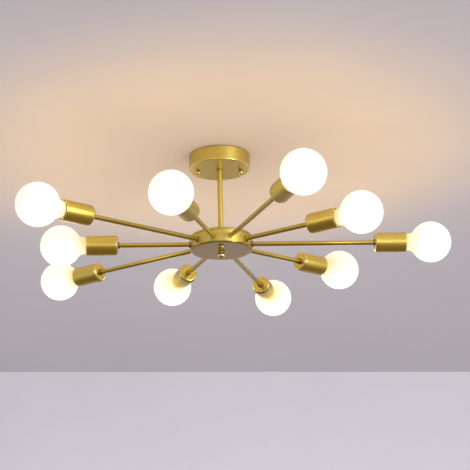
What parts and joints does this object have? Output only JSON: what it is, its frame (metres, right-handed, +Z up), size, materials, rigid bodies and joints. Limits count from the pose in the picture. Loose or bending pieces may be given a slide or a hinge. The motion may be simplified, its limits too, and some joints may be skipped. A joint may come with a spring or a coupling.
{
  "type": "multi-arm ceiling light",
  "caption": "Semi-flush ceiling light: a round canopy, a short stem and a drum hub with radial arms of two lengths, each ending in a metal socket cup and an opal globe bulb.",
  "frame": {"origin": "centre of the canopy on the ceiling plane, midway between the two ceiling screws", "axes": "+Z up along the stem into the ceiling, +X along the first long arm and the ceiling bracket"},
  "size_m": [0.8235, 0.8618, 0.223],
  "materials": {
    "satin_gold": "satin gold, finely brushed",
    "opal_glass": "opal, lit from inside",
    "zinc_steel": "zinc plated",
    "porcelain": "white glaze",
    "contact_brass": "bare brass",
    "white_nylon": "moulded",
    "lead_cover": "clear over copper",
    "glass_sleeve": "woven glass sleeve"
  },
  "bodies": {
    "fixture": {"arm_collars": "satin_gold", "arm_hub_nuts": "zinc_steel", "arm_tube_01": "satin_gold", "arm_tube_02": "satin_gold", "arm_tube_03": "satin_gold", "arm_tube_04": "satin_gold", "arm_tube_05": "satin_gold", "arm_tube_06": "satin_gold", "arm_tube_07": "satin_gold", "arm_tube_08": "satin_gold", "arm_tube_09": "satin_gold", "arm_tube_10": "satin_gold", "bracket_studs": "zinc_steel", "canopy": "satin_gold", "ceiling_bracket": "zinc_steel", "finial_screw": "zinc_steel", "holder_contacts": "contact_brass", "hub_cover": "satin_gold", "hub_housing": "satin_gold", "hub_strap": "zinc_steel", "lamp_holder_01": "porcelain", "lamp_holder_02": "porcelain", "lamp_holder_03": "porcelain", "lamp_holder_04": "porcelain", "lamp_holder_05": "porcelain", "lamp_holder_06": "porcelain", "lamp_holder_07": "porcelain", "lamp_holder_08": "porcelain", "lamp_holder_09": "porcelain", "lamp_holder_10": "porcelain", "socket_cup_01": "satin_gold", "socket_cup_02": "satin_gold", "socket_cup_03": "satin_gold", "socket_cup_04": "satin_gold", "socket_cup_05": "satin_gold", "socket_cup_06": "satin_gold", "socket_cup_07": "satin_gold", "socket_cup_08": "satin_gold", "socket_cup_09": "satin_gold", "socket_cup_10": "satin_gold", "splice_sleeve": "glass_sleeve", "stem_collars": "satin_gold", "stem_fasteners": "zinc_steel", "stem_tube": "satin_gold", "terminal_block": "white_nylon", "wiring_leads": "lead_cover"},
    "canopy_ball_nut_1": {"canopy_ball_nut_1": "satin_gold"},
    "canopy_ball_nut_2": {"canopy_ball_nut_2": "satin_gold"},
    "finial": {"finial": "satin_gold"},
    "bulb_01": {"bulb_01": "opal_glass"},
    "bulb_02": {"bulb_02": "opal_glass"},
    "bulb_03": {"bulb_03": "opal_glass"},
    "bulb_04": {"bulb_04": "opal_glass"},
    "bulb_05": {"bulb_05": "opal_glass"},
    "bulb_06": {"bulb_06": "opal_glass"},
    "bulb_07": {"bulb_07": "opal_glass"},
    "bulb_08": {"bulb_08": "opal_glass"},
    "bulb_09": {"bulb_09": "opal_glass"},
    "bulb_10": {"bulb_10": "opal_glass"}
  },
  "joints": [
    {"name": "bulb_01_screw", "type": "hinge", "parent": "fixture", "child": "bulb_01", "pos_m": [0.411, 0, -0.183], "axis": [1, 0, 0], "range_deg": [0, 1080]},
    {"name": "bulb_02_screw", "type": "hinge", "parent": "fixture", "child": "bulb_02", "pos_m": [0.2516, 0.1828, -0.183], "axis": [0.809, 0.5878, 0], "range_deg": [0, 1080]},
    {"name": "bulb_03_screw", "type": "hinge", "parent": "fixture", "child": "bulb_03", "pos_m": [0.12701, 0.39088, -0.183], "axis": [0.309, 0.9511, 0], "range_deg": [0, 1080]},
    {"name": "bulb_04_screw", "type": "hinge", "parent": "fixture", "child": "bulb_04", "pos_m": [-0.0961, 0.29578, -0.183], "axis": [-0.309, 0.9511, 0], "range_deg": [0, 1080]},
    {"name": "bulb_05_screw", "type": "hinge", "parent": "fixture", "child": "bulb_05", "pos_m": [-0.33251, 0.24158, -0.183], "axis": [-0.809, 0.5878, 0], "range_deg": [0, 1080]},
    {"name": "bulb_06_screw", "type": "hinge", "parent": "fixture", "child": "bulb_06", "pos_m": [-0.311, 0, -0.183], "axis": [-1, 0, 0], "range_deg": [0, 1080]},
    {"name": "bulb_07_screw", "type": "hinge", "parent": "fixture", "child": "bulb_07", "pos_m": [-0.33251, -0.24158, -0.183], "axis": [-0.809, -0.5878, 0], "range_deg": [0, 1080]},
    {"name": "bulb_08_screw", "type": "hinge", "parent": "fixture", "child": "bulb_08", "pos_m": [-0.0961, -0.29578, -0.183], "axis": [-0.309, -0.9511, 0], "range_deg": [0, 1080]},
    {"name": "bulb_09_screw", "type": "hinge", "parent": "fixture", "child": "bulb_09", "pos_m": [0.12701, -0.39088, -0.183], "axis": [0.309, -0.9511, 0], "range_deg": [0, 1080]},
    {"name": "bulb_10_screw", "type": "hinge", "parent": "fixture", "child": "bulb_10", "pos_m": [0.2516, -0.1828, -0.183], "axis": [0.809, -0.5878, 0], "range_deg": [0, 1080]},
    {"name": "finial_screw_turn", "type": "hinge", "parent": "fixture", "child": "finial", "pos_m": [0, 0, -0.197], "axis": [0, 0, -1], "range_deg": [0, 4050]},
    {"name": "canopy_ball_nut_1_turn", "type": "hinge", "parent": "fixture", "child": "canopy_ball_nut_1", "pos_m": [0.042, 0, -0.028], "axis": [0, 0, -1], "range_deg": [0, 3240]},
    {"name": "canopy_ball_nut_2_turn", "type": "hinge", "parent": "fixture", "child": "canopy_ball_nut_2", "pos_m": [-0.042, 0, -0.028], "axis": [0, 0, -1], "range_deg": [0, 3240]}
  ]
}
